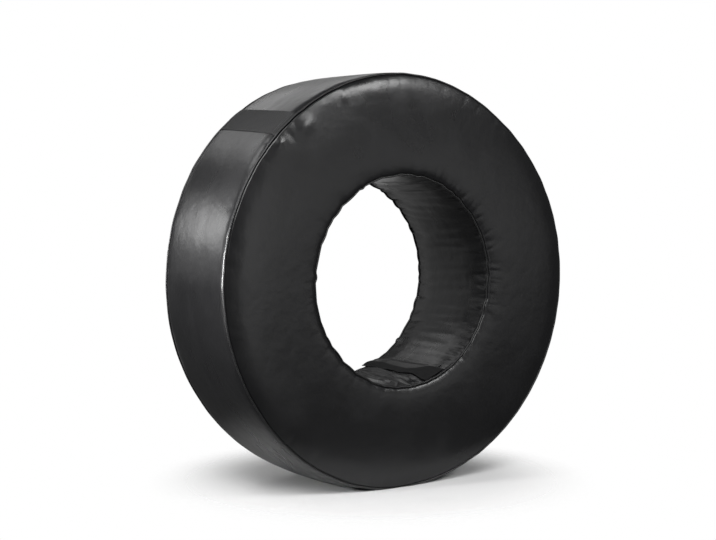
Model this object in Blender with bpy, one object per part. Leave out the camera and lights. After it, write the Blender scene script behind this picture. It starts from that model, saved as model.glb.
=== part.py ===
# Tackling wheel: a thick foam ring in a sewn vinyl cover, standing on its tread.
# Metres, +Z up. The wheel's axis is Y, its front face looks along -Y, and the origin is its centre.

import math

import bmesh
import bpy

# Whole wheel
WHEEL_WIDTH = 0.305
TREAD_RADIUS = 0.508
BORE_RADIUS = 0.2535
RING_SIDES = 60

# How far the cover is drawn in at its seams, and over what width beside each seam
FACE_CROWN = 0.006
TREAD_CROWN = 0.004
BORE_CROWN = 0.006
TREAD_DRAW_WIDTH = 0.0965
BORE_DRAW_WIDTH = 0.0285
ROLL_SHARES = (0.45, 1.0)
BAND_SHARE = 0.55

# Cover and piping
COVER_THICKNESS = 0.0009
SEAT_GAP = 0.0003
PIPING_RADIUS = 0.0024
PIPING_SET_BACK = 0.0008
PIPING_SIDES = 6

# Foam: firm slabs in the middle, softer sponge on every side
TREAD_PAD_THICKNESS = 0.03
BORE_PAD_THICKNESS = 0.02
FACE_PAD_THICKNESS = 0.026
CORE_SLAB_COUNT = 5

# Carry handle: one webbing across the tread, sewn down at both seams
HANDLE_ANGLE = math.radians(130.8)
HANDLE_WIDTH = 0.076
HANDLE_THICKNESS = 0.002
HANDLE_SLANT = 0.027
HANDLE_GAP = 0.0004
HANDLE_TAIL_LENGTH = 0.014
HANDLE_FOLD_GAP = 0.0008
HANDLE_STRIPS = 6

# Stitching
THREAD_RADIUS = 0.0004
BARTACK_MARGIN = 0.005
BARTACK_REACH = 0.003
BARTACK_WAVES = 8
BARTACK_STEPS = 6

# Closure in the bore: a slit in the cover under a flap with hook and loop tape
CLOSURE_ANGLE = math.radians(-62.0)
CLOSURE_STEP = 0.008
SLIT_WIDTH = 0.004
HEM_WIDTH = 0.01
HEM_LAND = 0.003
TAPE_LAND = 0.005
TAPE_WIDTH = 0.025
TAPE_THICKNESS = 0.0012
FLAP_MARGIN = 0.003
FLAP_OVERHANG = 0.016
FLAP_THICKNESS = 0.0012
FLAP_FOLD_GAP = 0.0005
FLAP_STEPS = 4

# Slack vinyl that lies in folds beside the closure
FOLD_MARGIN = 0.004
FOLD_SPAN = 0.08
FOLD_COUNT = 5
FOLD_HEIGHT = 0.005
FOLD_STEPS = 4
FOLD_END_SHARE = 0.3
FOLD_CREST_SHARE = 0.35

# Where the seams run, and where each band stops beside its piping
SEAM_LEVEL = WHEEL_WIDTH / 2 - FACE_CROWN
TREAD_SEAM_RADIUS = TREAD_RADIUS - TREAD_CROWN
BORE_SEAM_RADIUS = BORE_RADIUS + BORE_CROWN
PIPING_REACH = PIPING_SET_BACK + PIPING_RADIUS + SEAT_GAP
BAND_END = SEAM_LEVEL - PIPING_REACH
TREAD_LEVEL = SEAM_LEVEL - TREAD_DRAW_WIDTH
BORE_LEVEL = SEAM_LEVEL - BORE_DRAW_WIDTH

# Radii and levels of the foam, counted inwards from the cover
LINING = COVER_THICKNESS + SEAT_GAP
FLAT_SHARE = math.cos(math.pi / RING_SIDES)
TREAD_PAD_INNER = TREAD_RADIUS - LINING - TREAD_PAD_THICKNESS
BORE_PAD_OUTER = BORE_RADIUS + LINING + BORE_PAD_THICKNESS
CORE_OUTER = TREAD_PAD_INNER - SEAT_GAP
CORE_INNER = BORE_PAD_OUTER + SEAT_GAP
FOAM_LEVEL = WHEEL_WIDTH / 2 - LINING
CORE_LEVEL = FOAM_LEVEL - FACE_PAD_THICKNESS - SEAT_GAP
SLAB_THICKNESS = (2 * CORE_LEVEL - (CORE_SLAB_COUNT - 1) * SEAT_GAP) / CORE_SLAB_COUNT

# Arcs round the bore, counted clockwise from the middle of the slit
FLAP_ROOT_ARC = -(SLIT_WIDTH / 2 + HEM_LAND)
HEM_START_ARC = FLAP_ROOT_ARC - HEM_WIDTH
TAPE_START_ARC = SLIT_WIDTH / 2 + TAPE_LAND
TAPE_END_ARC = TAPE_START_ARC + TAPE_WIDTH
FLAP_END_ARC = TAPE_END_ARC + FLAP_MARGIN
FOLD_START_ARC = FLAP_END_ARC + FOLD_MARGIN
FOLD_END_ARC = FOLD_START_ARC + FOLD_SPAN
LAYER = TAPE_THICKNESS + SEAT_GAP

# Colours are linear, with roughness and metallic after them
BLACK_VINYL = ("black_vinyl", (0.018, 0.018, 0.019), 0.38, 0.0)
PIPING_VINYL = ("piping_vinyl", (0.022, 0.022, 0.023), 0.32, 0.0)
WEBBING = ("webbing", (0.02, 0.02, 0.021), 0.8, 0.0)
TAPE = ("hook_and_loop", (0.01, 0.01, 0.01), 0.9, 0.0)
THREAD = ("thread", (0.03, 0.03, 0.03), 0.7, 0.0)
FIRM_FOAM = ("firm_foam", (0.75, 0.76, 0.78), 0.85, 0.0)
SOFT_FOAM = ("soft_foam", (0.45, 0.47, 0.5), 0.9, 0.0)


def clear_scene():
    for obj in list(bpy.data.objects):
        bpy.data.objects.remove(obj)


def material_of(finish):
    name, colour, roughness, metallic = finish
    found = bpy.data.materials.get(name)
    if found:
        return found
    made = bpy.data.materials.new(name)
    made.use_nodes = True
    shader = made.node_tree.nodes["Principled BSDF"]
    shader.inputs["Base Color"].default_value = (*colour, 1.0)
    shader.inputs["Roughness"].default_value = roughness
    shader.inputs["Metallic"].default_value = metallic
    return made


def link(name, data, finish):
    obj = bpy.data.objects.new(name, data)
    data.materials.append(material_of(finish))
    bpy.context.scene.collection.objects.link(obj)
    return obj


def solid(name, bm, finish):
    bmesh.ops.recalc_face_normals(bm, faces=bm.faces)
    mesh = bpy.data.meshes.new(name)
    bm.to_mesh(mesh)
    bm.free()
    mesh.shade_smooth()
    mesh.set_sharp_from_angle(angle=math.radians(40.0))
    return link(name, mesh, finish)


def ring(name, profile, finish):
    """Turns a closed outline of (radius, y) points round the wheel's axis, with a flat at the bottom."""
    bm = bmesh.new()
    start = math.pi / RING_SIDES
    points = [bm.verts.new((r * math.cos(start), y, r * math.sin(start))) for r, y in profile]
    edges = [bm.edges.new((points[i - 1], points[i])) for i in range(len(points))]
    bmesh.ops.spin(
        bm,
        geom=points + edges,
        cent=(0.0, 0.0, 0.0),
        axis=(0.0, 1.0, 0.0),
        angle=math.tau,
        steps=RING_SIDES,
        use_merge=True,
    )
    return solid(name, bm, finish)


def layer(name, top, under, finish):
    """A closed sheet between two grids of points, row by row."""
    bm = bmesh.new()
    upper = [[bm.verts.new(p) for p in row] for row in top]
    lower = [[bm.verts.new(p) for p in row] for row in under]
    rows = len(upper) - 1
    columns = len(upper[0]) - 1
    for i in range(rows):
        for j in range(columns):
            for grid in (upper, lower):
                bm.faces.new((grid[i][j], grid[i + 1][j], grid[i + 1][j + 1], grid[i][j + 1]))
    for i in range(rows):
        for j in (0, columns):
            bm.faces.new((upper[i][j], upper[i + 1][j], lower[i + 1][j], lower[i][j]))
    for j in range(columns):
        for i in (0, rows):
            bm.faces.new((upper[i][j], upper[i][j + 1], lower[i][j + 1], lower[i][j]))
    return solid(name, bm, finish)


def thread(name, points, finish):
    curve = bpy.data.curves.new(name, "CURVE")
    curve.dimensions = "3D"
    curve.bevel_depth = THREAD_RADIUS
    curve.bevel_resolution = 0
    curve.use_fill_caps = True
    spline = curve.splines.new("POLY")
    spline.points.add(len(points) - 1)
    for spot, point in zip(spline.points, points):
        spot.co = (*point, 1.0)
    return link(name, curve, finish)


def on_wheel(radius, angle, y):
    return (radius * math.cos(angle), y, radius * math.sin(angle))


def spread(low, high, steps):
    return [low + (high - low) * i / steps for i in range(steps + 1)]


def spread_by(low, high, step):
    return spread(low, high, math.ceil((high - low) / step))


def smooth(share):
    share = min(max(share, 0.0), 1.0)
    return share * share * (3 - 2 * share)


def on_line(line, place):
    """The height of a polyline of (place, height) points at one place."""
    ordered = sorted(line)
    for (a, low), (b, high) in zip(ordered, ordered[1:]):
        if place <= b:
            return low + (high - low) * (place - a) / (b - a)
    return ordered[-1][1]


def band_line(level, level_radius, fall):
    """(y, radius) along a band: level in the middle, drawn towards the seam radius at both ends."""
    middle = level + BAND_SHARE * (SEAM_LEVEL - level)

    def radius_at(y):
        return level_radius + fall * ((y - level) / (SEAM_LEVEL - level)) ** 2

    half = [(level, level_radius), (middle, radius_at(middle)), (BAND_END, radius_at(BAND_END))]
    return [(-y, r) for y, r in reversed(half)] + half


def tread_line():
    return band_line(TREAD_LEVEL, TREAD_RADIUS, -TREAD_CROWN)


def bore_line():
    return band_line(BORE_LEVEL, BORE_RADIUS, BORE_CROWN)


def face_roll(seam, width):
    """(radius, level) where a face panel rolls down to one of its seams, from the seam's side."""
    shares = (PIPING_REACH / abs(width), *ROLL_SHARES)
    return [(seam + width * s, SEAM_LEVEL + FACE_CROWN * (1 - (1 - s) ** 2)) for s in shares]


def build_foam():
    flat = ((CORE_INNER, -1), (CORE_OUTER, -1), (CORE_OUTER, 1), (CORE_INNER, 1))

    def flat_ring(name, middle, thickness, finish):
        ring(name, [(r, middle + side * thickness / 2) for r, side in flat], finish)

    for i in range(CORE_SLAB_COUNT):
        middle = (i - (CORE_SLAB_COUNT - 1) / 2) * (SLAB_THICKNESS + SEAT_GAP)
        flat_ring(f"core_slab_{i + 1}", middle, SLAB_THICKNESS, FIRM_FOAM)
    pad_middle = FOAM_LEVEL - FACE_PAD_THICKNESS / 2
    flat_ring("front_face_pad", -pad_middle, FACE_PAD_THICKNESS, SOFT_FOAM)
    flat_ring("rear_face_pad", pad_middle, FACE_PAD_THICKNESS, SOFT_FOAM)


def build_pad(name, band, seam, roll_width):
    """The soft pad under one band of the cover: a step beside each piping, then the face's roll."""
    roll = [(r, level - LINING) for r, level in face_roll(seam, roll_width)]
    side = [(roll[0][0], BAND_END)] + roll
    ring(name, band + side + [(r, -level) for r, level in reversed(side)], SOFT_FOAM)


def build_band_pads():
    tread = [(r - LINING, y) for y, r in tread_line()]
    build_pad("tread_pad", tread, TREAD_SEAM_RADIUS, TREAD_PAD_INNER - TREAD_SEAM_RADIUS)
    bore = [((r + LINING) / FLAT_SHARE, y) for y, r in bore_line()]
    build_pad("bore_pad", bore, BORE_SEAM_RADIUS, BORE_PAD_OUTER - BORE_SEAM_RADIUS)


def build_face_covers():
    line = face_roll(TREAD_SEAM_RADIUS, TREAD_PAD_INNER - TREAD_SEAM_RADIUS)
    line += reversed(face_roll(BORE_SEAM_RADIUS, BORE_PAD_OUTER - BORE_SEAM_RADIUS))
    for name, side in (("front_face_cover", -1), ("rear_face_cover", 1)):
        outside = [(r, side * level) for r, level in line]
        inside = [(r, side * (level - COVER_THICKNESS)) for r, level in reversed(line)]
        ring(name, outside + inside, BLACK_VINYL)


def build_tread_cover():
    line = tread_line()
    outside = [(r, y) for y, r in line]
    inside = [(r - COVER_THICKNESS, y) for y, r in reversed(line)]
    ring("tread_cover", outside + inside, BLACK_VINYL)


def bore_angle(arc):
    return CLOSURE_ANGLE - arc / BORE_RADIUS


def fold_height(arc, y):
    """How far the slack vinyl stands off the pad: ridges along the axis that flatten at both seams."""
    along = (arc - FOLD_START_ARC) / FOLD_SPAN
    if not 0 < along < 1:
        return 0.0
    ridge = math.sin(math.pi * FOLD_COUNT * along) ** 2
    crest = 1 - FOLD_CREST_SHARE * math.cos(math.tau * along) ** 2
    across = 1 - (1 - FOLD_END_SHARE) * (abs(y) / BAND_END) ** 2
    return FOLD_HEIGHT * ridge * crest * across


def build_bore_cover():
    round_arc = math.tau * BORE_RADIUS
    edge = SLIT_WIDTH / 2
    far_end = round_arc + HEM_START_ARC - HEM_LAND
    arcs = spread_by(edge, FOLD_START_ARC, CLOSURE_STEP)[:-1]
    arcs += spread(FOLD_START_ARC, FOLD_END_ARC, FOLD_COUNT * FOLD_STEPS)[:-1]
    arcs += spread_by(FOLD_END_ARC, far_end, round_arc / RING_SIDES)[:-1]
    arcs += spread_by(far_end, round_arc - edge, CLOSURE_STEP)
    line = bore_line()
    middle = len(line) // 2
    line.insert(middle, (0.0, BORE_RADIUS))

    def grid(offset):
        return [
            [on_wheel(r + offset - fold_height(arc, y), bore_angle(arc), y) for y, r in line]
            for arc in arcs
        ]

    layer("bore_cover", grid(0.0), grid(COVER_THICKNESS), BLACK_VINYL)


def build_piping():
    seams = (("outer", TREAD_SEAM_RADIUS - PIPING_SET_BACK), ("bore", BORE_SEAM_RADIUS + PIPING_SET_BACK))
    for end, side in (("front", -1), ("rear", 1)):
        for seam, radius in seams:
            level = side * (SEAM_LEVEL - PIPING_SET_BACK)
            turns = [math.tau * i / PIPING_SIDES for i in range(PIPING_SIDES)]
            profile = [
                (radius + PIPING_RADIUS * math.cos(t), level + PIPING_RADIUS * math.sin(t)) for t in turns
            ]
            ring(f"{end}_{seam}_piping", profile, PIPING_VINYL)


def handle_angle(across, y):
    """The angle on the tread of a spot on the webbing, which is sewn on a little askew."""
    return HANDLE_ANGLE + (across - HANDLE_SLANT * y / (2 * SEAM_LEVEL)) / TREAD_RADIUS


def handle_floor(y):
    """The radius at which the underside of the webbing lies."""
    return on_line(tread_line(), y) + HANDLE_GAP


def webbing_piece(name, stations):
    strips = spread(-HANDLE_WIDTH / 2, HANDLE_WIDTH / 2, HANDLE_STRIPS)

    def grid(offset):
        return [[on_wheel(handle_floor(y) + offset, handle_angle(w, y), y) for w in strips] for y in stations]

    layer(name, grid(HANDLE_THICKNESS), grid(0.0), WEBBING)


def build_handle():
    tail = BAND_END - HANDLE_TAIL_LENGTH
    stops = [y for y, r in tread_line() if abs(y) < tail]
    for end, side in (("front", -1), ("rear", 1)):
        inner = [y for y in stops if y * side > 0]
        half = sorted([side * HANDLE_FOLD_GAP, side * (tail - HANDLE_FOLD_GAP), *inner])
        webbing_piece(f"handle_{end}_half", half)
        webbing_piece(f"handle_{end}_tail", sorted([side * tail, side * BAND_END]))
        build_bartack(f"handle_{end}_stitching", side * (tail + BAND_END) / 2)


def build_bartack(name, level):
    """A zigzag of thread across one sewn end of the webbing."""
    half = HANDLE_WIDTH / 2 - BARTACK_MARGIN
    steps = BARTACK_WAVES * BARTACK_STEPS
    height = HANDLE_THICKNESS + SEAT_GAP + THREAD_RADIUS
    points = []
    for i, across in enumerate(spread(-half, half, steps)):
        y = level + BARTACK_REACH * math.sin(math.tau * i / BARTACK_STEPS)
        points.append(on_wheel(handle_floor(y) + height, handle_angle(across, y), y))
    thread(name, points, THREAD)


def closure_piece(name, arcs, half_length, height_at, thickness, finish):
    """A straight strip along the bore that stands off the cover's level part by height_at(arc)."""
    ends = (-half_length, half_length)

    def grid(extra):
        return [
            [on_wheel(BORE_RADIUS - height_at(arc) - extra, bore_angle(arc), y) for y in ends]
            for arc in arcs
        ]

    layer(name, grid(thickness), grid(0.0), finish)


def flap_height(arc):
    """The flap lies on the cover at its sewn edge and rises over both tapes."""
    rise = smooth((arc - FLAP_ROOT_ARC) / (TAPE_START_ARC - FLAP_ROOT_ARC))
    return SEAT_GAP + 2 * LAYER * rise


def build_closure():
    sewn = BORE_LEVEL
    free = sewn + FLAP_OVERHANG
    hem_arcs = spread_by(HEM_START_ARC, FLAP_ROOT_ARC, CLOSURE_STEP)
    closure_piece("closure_hem", hem_arcs, sewn, lambda arc: SEAT_GAP, FLAP_THICKNESS, BLACK_VINYL)
    flap_arcs = spread(FLAP_ROOT_ARC + FLAP_FOLD_GAP, TAPE_START_ARC, FLAP_STEPS)[:-1]
    flap_arcs += spread_by(TAPE_START_ARC, FLAP_END_ARC, CLOSURE_STEP)
    closure_piece("closure_flap", flap_arcs, free, flap_height, FLAP_THICKNESS, BLACK_VINYL)
    tape_arcs = spread_by(TAPE_START_ARC, TAPE_END_ARC, CLOSURE_STEP)
    for name, height in (("closure_loop_tape", SEAT_GAP), ("closure_hook_tape", SEAT_GAP + LAYER)):
        closure_piece(name, tape_arcs, sewn, lambda arc: height, TAPE_THICKNESS, TAPE)
    seam_angle = bore_angle(HEM_START_ARC + HEM_WIDTH / 2)
    seam_radius = BORE_RADIUS - FLAP_THICKNESS - 2 * SEAT_GAP - THREAD_RADIUS
    seam = [on_wheel(seam_radius, seam_angle, y) for y in (-sewn, sewn)]
    thread("closure_stitching", seam, THREAD)


def main():
    clear_scene()
    build_foam()
    build_band_pads()
    build_face_covers()
    build_tread_cover()
    build_bore_cover()
    build_piping()
    build_handle()
    build_closure()


main()
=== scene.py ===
"""Tackling wheel: a foam ring in a sewn vinyl cover, with piping, a carry handle and a bore closure.

Metres throughout. The wheel's axis is Y and its front face looks along -Y. Angles named around are
in degrees, from the right through the top, as the wheel is seen from the front.
"""

import math

import bpy
import numpy as np
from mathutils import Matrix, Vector


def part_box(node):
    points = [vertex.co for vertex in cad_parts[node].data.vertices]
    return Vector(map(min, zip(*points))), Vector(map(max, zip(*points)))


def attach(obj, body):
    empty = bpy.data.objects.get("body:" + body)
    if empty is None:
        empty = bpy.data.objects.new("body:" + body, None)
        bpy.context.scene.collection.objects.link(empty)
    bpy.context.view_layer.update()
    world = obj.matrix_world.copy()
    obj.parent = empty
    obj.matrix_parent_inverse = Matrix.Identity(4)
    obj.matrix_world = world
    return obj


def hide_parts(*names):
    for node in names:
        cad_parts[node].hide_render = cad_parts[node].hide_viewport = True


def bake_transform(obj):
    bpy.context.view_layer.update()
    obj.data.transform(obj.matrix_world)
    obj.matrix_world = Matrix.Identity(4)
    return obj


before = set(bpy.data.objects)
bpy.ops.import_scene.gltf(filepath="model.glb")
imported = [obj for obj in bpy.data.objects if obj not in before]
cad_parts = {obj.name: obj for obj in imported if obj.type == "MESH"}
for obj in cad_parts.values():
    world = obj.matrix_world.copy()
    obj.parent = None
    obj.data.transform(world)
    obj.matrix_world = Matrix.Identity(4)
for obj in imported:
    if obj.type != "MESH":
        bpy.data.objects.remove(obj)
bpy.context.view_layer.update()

bl_info = {
    "name": "Tackling Wheel",
    "version": (1, 0, 0),
    "blender": (4, 5, 0),
    "location": "3D View > Sidebar > Wheel",
    "description": "Foam wheel in a sewn vinyl cover with a carry handle and a closure",
    "category": "Add Mesh",
}

MM = 0.001
TINY = 0.0001
TREAD_RADIUS = 0.508
FLOOR_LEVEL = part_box("tread_cover")[0].z
ENDS = (("front", -1), ("rear", 1))
# A point times this is its way out from the axis
FROM_AXIS = (1, 0, 1)

# Out of round, as (degrees around, millimetres outwards), because a soft wheel sags where it stands
FRONT_SEAM = (
    (180, 0), (125, 0), (90, 0), (54, -7), (20, 0), (-45, 0), (-80, 0.5), (-102, 7), (-125, 3), (-150, 0),
)
REAR_SEAM = (
    (180, -4.5), (168, -4), (153, 0), (144, 3.5), (134, 5), (118, 7), (90, 4), (60, 0), (0, 0),
    (-60, 0), (-85, 0.5), (-110, 6), (-125, 6.5), (-136, 2.5), (-146, 0.5), (-165, -1.5),
)
TREAD_SWELL = (
    (90, 1), (130, 2), (180, 2), (-150, 4), (-125, 8), (-110, 11), (-95, 6), (-75, 2.5), (0, 2), (60, 1),
)
# How wide and how deep the front face is drawn in at its rim, in mm, with a tuck at 111 degrees
FACE_ROLL = (
    (180, 46), (150, 42), (141, 32), (135, 28), (123, 26), (113.0, 26), (110.8, 20), (90, 18), (72, 16),
    (58, 20), (0, 26), (-60, 26), (-100, 30), (-140, 40),
)
FACE_DRAWN = (
    (180, 7.5), (141, 6), (135, 3.6), (128, 2.5), (113.0, 2.4), (110.8, 8), (100, 7.5), (90, 6), (72, 4.5),
    (58, 3.5), (0, 6), (-90, 7.5),
)


def length_setting(name, default, description):
    return bpy.props.FloatProperty(name=name, description=description, default=default, unit="LENGTH")


def colour_setting(name, default, description):
    return bpy.props.FloatVectorProperty(name=name, description=description, default=default, subtype="COLOR")


class WheelSizes(bpy.types.PropertyGroup):
    """Sizes of the wheel and its parts."""

    seam_level: length_setting("Seam Level", 0.1465, "Distance of each seam from the wheel's middle plane")
    tread_seam_radius: length_setting("Tread Seam Radius", 0.504, "Radius of the seams of tread and faces")
    bore_seam_radius: length_setting("Bore Seam Radius", 0.2595, "Radius of the seams of bore and faces")
    bore_radius: length_setting("Bore Radius", 0.2535, "Radius of the hole's level part")
    vinyl_thickness: length_setting("Vinyl Thickness", 0.0009, "Thickness of the coated cloth")
    piping_radius: length_setting("Piping Radius", 0.0024, "Radius of the cord in each seam")
    handle_width: length_setting("Handle Width", 0.076, "Width of the carry handle's webbing")
    handle_thickness: length_setting("Handle Thickness", 0.002, "Thickness of the carry handle's webbing")


class WheelFinish(bpy.types.PropertyGroup):
    """Colours of the wheel's materials."""

    vinyl: colour_setting("Vinyl", (0.008, 0.008, 0.0086), "Colour of the cover")
    piping: colour_setting("Piping", (0.011, 0.011, 0.0115), "Colour of the piping")
    webbing: colour_setting("Webbing", (0.014, 0.014, 0.0146), "Colour of the handle")
    tape: colour_setting("Tape", (0.01, 0.01, 0.01), "Colour of the hook and loop tapes")
    lining: colour_setting("Lining", (0.012, 0.012, 0.0125), "Colour of the flap's lining")
    thread: colour_setting("Thread", (0.035, 0.035, 0.035), "Colour of the stitching")
    firm_foam: colour_setting("Firm Foam", (0.72, 0.73, 0.75), "Colour of the core slabs")
    soft_foam: colour_setting("Soft Foam", (0.42, 0.44, 0.47), "Colour of the sponge")


def sizes():
    return bpy.context.scene.wheel_sizes


def finish():
    return bpy.context.scene.wheel_finish


# Shapes


def on_wheel(radius, around, y):
    """Points from their radius, their angle around and their y."""
    turn = np.radians(around)
    radius, y = np.broadcast_arrays(radius, y)
    return np.stack([radius * np.cos(turn), y, radius * np.sin(turn)], -1)


def spot(radius, around, y):
    """One point, as plain numbers."""
    return tuple(float(v) for v in on_wheel(radius, around, y))


def off_wheel(points):
    """The radius, the angle around and y of each point."""
    return (
        np.hypot(points[:, 0], points[:, 2]),
        np.degrees(np.arctan2(points[:, 2], points[:, 0])),
        points[:, 1],
    )


def smooth(share):
    share = np.clip(share, 0.0, 1.0)
    return share * share * (3 - 2 * share)


def between(low, high, value):
    """0 below low, 1 above high, and a smooth rise between."""
    return smooth((value - low) / (high - low))


def turn_from(around, place):
    """The signed angle from a place to each angle around, the short way."""
    return (around - place + 180) % 360 - 180


def round_the_wheel(spots, around, blur=10.0):
    """A smooth closed line through (degrees, millimetres) spots, in metres at each angle around."""
    step = 0.5
    fine = np.arange(0, 360, step)
    places, heights = zip(*spots)
    rough = np.interp(fine, places, heights, period=360)
    kernel = np.hanning(int(2 * blur / step) + 1)
    soft = np.convolve(np.tile(rough, 3), kernel / kernel.sum(), "same")[fine.size : 2 * fine.size]
    return np.interp(around, fine, soft, period=360) * MM


def waves(around, seed, low, high, count):
    """An uneven closed wave round the wheel, of about 1 in height, between low and high cycles a turn."""
    random = np.random.default_rng(seed)
    cycles = random.choice(np.arange(low, high + 1), count, replace=False)
    total = np.zeros_like(around, dtype=float)
    for n in cycles:
        total += np.cos(np.radians(around) * n + random.uniform(0, math.tau)) * random.uniform(0.5, 1.0)
    return total / math.sqrt(count)


def scallops(around, seed, count):
    """Arcs between the pinched spots of a gathered seam, in metres, 0 at each pinch."""
    random = np.random.default_rng(seed)
    pinches = (np.arange(count) + random.uniform(-0.36, 0.36, count)) * 360 / count
    heights = random.uniform(0.8, 4.0, count) * MM
    turn = (around - pinches[0]) % 360
    starts = pinches - pinches[0]
    which = np.searchsorted(starts, turn, side="right") - 1
    share = (turn - starts[which]) / (np.append(starts[1:], 360) - starts)[which]
    return heights[which] * (1 - np.abs(2 * share - 1) ** 1.8)


def outer_seam(around, y):
    """The radius of the tread's seams: the front one at the front level, the rear one at the rear."""
    share = np.clip(0.5 + 0.5 * y / sizes().seam_level, 0, 1)
    front = round_the_wheel(FRONT_SEAM, around)
    rear = round_the_wheel(REAR_SEAM, around)
    uneven = 0.5 * MM * waves(around, 11, 20, 60, 12)
    return sizes().tread_seam_radius + front + (rear - front) * share + uneven


def bore_seam(around, y):
    """The radius of the bore's seams, which the gathered band pulls into shallow scallops."""
    front = scallops(around, 21, 38)
    rear = scallops(around, 22, 46)
    calm = between(26, 12, np.abs(turn_from(around, -74)))
    uneven = np.where(y < 0, front, rear)
    return sizes().bore_seam_radius + (0.0012 - uneven) * (1 - 0.6 * calm)


# How wide and how deep the tread rolls over into its front seam, widest below the handle
TREAD_LIP = (
    (180, 12), (160, 12), (152, 16), (146, 22), (139, 28), (131, 20), (120, 15), (60, 15), (-90, 15),
    (-150, 13),
)
TREAD_DROP = (
    (180, 4), (160, 4), (152, 4.6), (146, 5.6), (139, 7.5), (131, 6), (120, 5.5), (60, 5.5), (-90, 5.5),
    (-150, 4.5),
)


def tread_radius(around, y):
    across = np.abs(y) / sizes().seam_level
    swell = round_the_wheel(TREAD_SWELL, around)
    width = np.where(y < 0, round_the_wheel(TREAD_LIP, around, 3.0), 0.015)
    drop = np.where(y < 0, round_the_wheel(TREAD_DROP, around, 3.0), 0.0055)
    roll = np.clip((np.abs(y) - sizes().seam_level) / width + 1, 0, 1)
    return outer_seam(around, y) + swell * (1 - across**3) + drop * (0.5 - roll**2)


def rest_on_floor(points, off=0.0):
    """Flattens what would reach through the floor, or nearer to it than off."""
    low = points[:, 2] < FLOOR_LEVEL + off
    points[low, 2] = FLOOR_LEVEL + off
    return points


# Mesh helpers


def clear_selection():
    if bpy.context.object and bpy.context.object.mode != "OBJECT":
        bpy.ops.object.mode_set(mode="OBJECT")
    bpy.ops.object.select_all(action="DESELECT")


def take(obj):
    clear_selection()
    obj.select_set(True)
    bpy.context.view_layer.objects.active = obj


def vertex_values(obj, kind):
    """Three numbers for each vertex, its co or its normal."""
    values = np.empty(len(obj.data.vertices) * 3)
    obj.data.vertices.foreach_get(kind, values)
    return values.reshape(-1, 3)


def points_of(obj):
    return vertex_values(obj, "co")


def set_points(obj, points):
    obj.data.vertices.foreach_set("co", np.ascontiguousarray(points, dtype=np.float32).ravel())
    obj.data.update()


def set_map(obj, spots):
    """Sets the piece's own map from one (u, v) spot for each vertex."""
    corners = np.empty(len(obj.data.loops), dtype=np.int32)
    obj.data.loops.foreach_get("vertex_index", corners)
    obj.data.uv_layers.active.data.foreach_set("uv", spots[corners].astype(np.float32).ravel())


def set_all(target, settings):
    for name, value in settings.items():
        setattr(target, name, value)


def edit(obj, *steps):
    """Runs edit-mode steps, each an operator with its settings, on the whole mesh."""
    take(obj)
    bpy.ops.object.mode_set(mode="EDIT")
    bpy.ops.mesh.select_all(action="SELECT")
    for operator, settings in steps:
        operator(**settings)
    bpy.ops.object.mode_set(mode="OBJECT")


def finish_with(obj, kind, **settings):
    """Adds a modifier and applies it."""
    take(obj)
    modifier = obj.modifiers.new(kind.title(), kind)
    set_all(modifier, settings)
    bpy.ops.object.modifier_apply(modifier=modifier.name)


def grid(name, columns, rows, place, closed=False):
    """A grid laid by place(along, across), which gives a point for shares from 0 to 1 of both."""
    clear_selection()
    bpy.ops.mesh.primitive_grid_add(x_subdivisions=columns, y_subdivisions=rows, size=1.0)
    obj = bpy.context.object
    obj.name = obj.data.name = name
    flat = points_of(obj) + 0.5
    set_points(obj, place(flat[:, 0], flat[:, 1]))
    if closed:
        edit(obj, (bpy.ops.mesh.remove_doubles, {"threshold": 1e-6}))
    bpy.ops.object.shade_smooth()
    return obj


def face_out(obj, outwards):
    """Turns the faces over if they look against outwards, one direction or one for each vertex."""
    if (vertex_values(obj, "normal") * outwards).sum() < 0:
        edit(obj, (bpy.ops.mesh.flip_normals, {}))


def give_thickness(obj, thickness):
    finish_with(obj, "SOLIDIFY", thickness=thickness, offset=-1.0, use_even_offset=False)


def ring(name, columns, outline, path):
    """A closed ring with an outline of (radius, y) points, which path(around, radius, y) shapes."""
    radii, levels = np.array([*outline, outline[0]]).T

    def place(along, across):
        step = np.round(across * len(outline)).astype(int)
        around = -90 + 360 * along
        radius, y = path(around, radii[step], levels[step])
        return on_wheel(radius, around, y)

    piece = grid(name, columns, len(outline), place, closed=True)
    edit(piece, (bpy.ops.mesh.normals_make_consistent, {"inside": False}))
    return piece


def dress(obj, material, body, nodes):
    """Gives a finished piece its material, hides the CAD nodes that it stands for, and, where a body is
    given, hangs it on the body that it rides on.
    """
    obj.data.materials.clear()
    obj.data.materials.append(material)
    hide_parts(*nodes)
    if body:
        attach(obj, body)


# Materials


class Value:
    """One output of a material's nodes. Sums and products with it add Math nodes."""

    def __init__(self, tree, socket=None):
        self.tree = tree
        self.socket = socket

    def node(self, kind, sockets=None, output=0, **settings):
        """Any node: its settings first, then the values or links of its sockets."""
        made = self.tree.nodes.new("ShaderNode" + kind)
        set_all(made, settings)
        for name, value in (sockets or {}).items():
            self.feed(made.inputs[name], value)
        return Value(self.tree, made.outputs[output])

    def feed(self, socket, value):
        if isinstance(value, Value):
            self.tree.links.new(value.socket, socket)
        elif isinstance(value, tuple) and len(value) == 3 and socket.type == "RGBA":
            socket.default_value = (*value, 1.0)
        else:
            socket.default_value = value

    def maths(self, operation, *values):
        return self.node("Math", dict(enumerate(values)), operation=operation)

    def __add__(self, other):
        return self.maths("ADD", self, other)

    def __sub__(self, other):
        return self.maths("SUBTRACT", self, other)

    def __rsub__(self, other):
        return self.maths("SUBTRACT", other, self)

    def __mul__(self, other):
        return self.maths("MULTIPLY", self, other)

    __radd__ = __add__
    __rmul__ = __mul__

    def above(self, low, high):
        """0 below low and 1 above high."""
        sockets = {"Value": self, "From Min": low, "From Max": high}
        return self.node("MapRange", sockets, interpolation_type="SMOOTHSTEP")


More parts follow.
